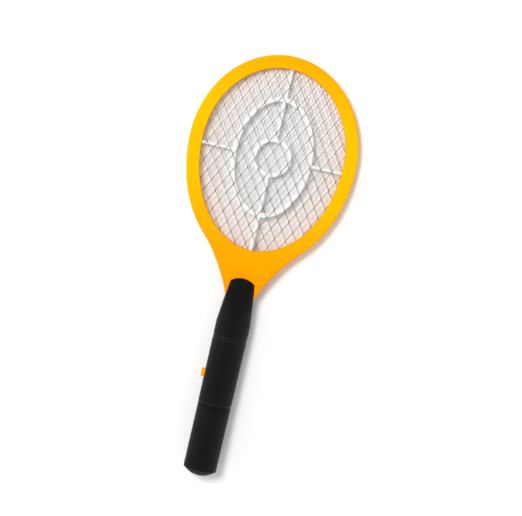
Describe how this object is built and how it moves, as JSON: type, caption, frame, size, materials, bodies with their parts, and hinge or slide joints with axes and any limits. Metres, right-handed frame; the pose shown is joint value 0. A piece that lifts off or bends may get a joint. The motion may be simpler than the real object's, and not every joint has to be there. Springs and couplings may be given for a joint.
{
  "type": "electric fly swatter",
  "caption": "Battery racket with charged metal nets in an oval frame, a push button on the side of its round handle, and a pull-off battery sleeve.",
  "frame": {"origin": "centre of the racket's box, on the plane where the frame halves and handle shells part", "axes": "+Y along the racket from the handle's end to the tip of the head, +X to its right seen from the front, +Z out of the front face"},
  "size_m": [0.1694, 0.4298, 0.0346],
  "materials": {
    "yellow_plastic": "smooth moulded, semi-gloss",
    "button_plastic": "smooth moulded, semi-gloss",
    "black_plastic": "fine satin texture",
    "carrier_plastic": "plain moulded",
    "white_plastic": "plain moulded",
    "net_metal": "expanded metal, bright",
    "screw_steel": "zinc plated",
    "contact_steel": "nickel plated",
    "cell_jacket": "printed foil jacket, plain",
    "board": "paper laminate",
    "ferrite": "sintered",
    "bobbin_plastic": "moulded",
    "copper_winding": "enamelled wire under clear tape",
    "capacitor_red": "dipped resin",
    "capacitor_blue": "dipped resin",
    "diode_black": "moulded epoxy",
    "resistor_body": "lacquered",
    "transistor_black": "moulded epoxy",
    "switch_plastic": "moulded",
    "red_wire": "pvc insulation",
    "black_wire": "pvc insulation",
    "white_wire": "pvc insulation",
    "blue_wire": "pvc insulation"
  },
  "bodies": {
    "racket": {"front_frame": "yellow_plastic", "rear_frame": "yellow_plastic", "frame_screws": "screw_steel", "front_net": "net_metal", "rear_net": "net_metal", "high_voltage_net": "net_metal", "front_spacer": "white_plastic", "rear_spacer": "white_plastic", "net_link_strip": "contact_steel", "front_handle_shell": "black_plastic", "rear_handle_shell": "black_plastic", "handle_screws": "screw_steel", "battery_carrier": "carrier_plastic", "left_cell": "cell_jacket", "right_cell": "cell_jacket", "positive_contact": "contact_steel", "negative_contact": "contact_steel", "bridge_contact": "contact_steel", "bridge_spring": "contact_steel", "negative_spring": "contact_steel", "switch_body": "switch_plastic", "circuit_board": "board", "board_screws": "screw_steel", "transformer_core": "ferrite", "transformer_bobbin": "bobbin_plastic", "transformer_winding": "copper_winding", "storage_capacitor": "capacitor_red", "multiplier_capacitors": "capacitor_blue", "diodes": "diode_black", "resistors": "resistor_body", "transistor": "transistor_black", "red_battery_lead": "red_wire", "black_battery_lead": "black_wire", "high_voltage_lead": "white_wire", "ground_lead": "blue_wire"},
    "battery_sleeve": {"battery_sleeve": "black_plastic"},
    "push_button": {"push_button": "button_plastic"},
    "switch_plunger": {"switch_plunger": "switch_plastic"}
  },
  "joints": [
    {"name": "sleeve_pull", "type": "slide", "parent": "racket", "child": "battery_sleeve", "axis": [0, -1, 0], "range_m": [0, 0.075]},
    {"name": "button_press", "type": "slide", "parent": "racket", "child": "push_button", "axis": [1, 0, 0], "range_m": [0, 0.0008], "stiffness_N_per_m": 1500, "springref_m": -0.0008},
    {"name": "plunger_press", "type": "slide", "parent": "racket", "child": "switch_plunger", "axis": [1, 0, 0], "range_m": [0, 0.0008]}
  ],
  "couplings": [
    {"joint": "plunger_press", "follows": "button_press", "ratio": 1}
  ]
}
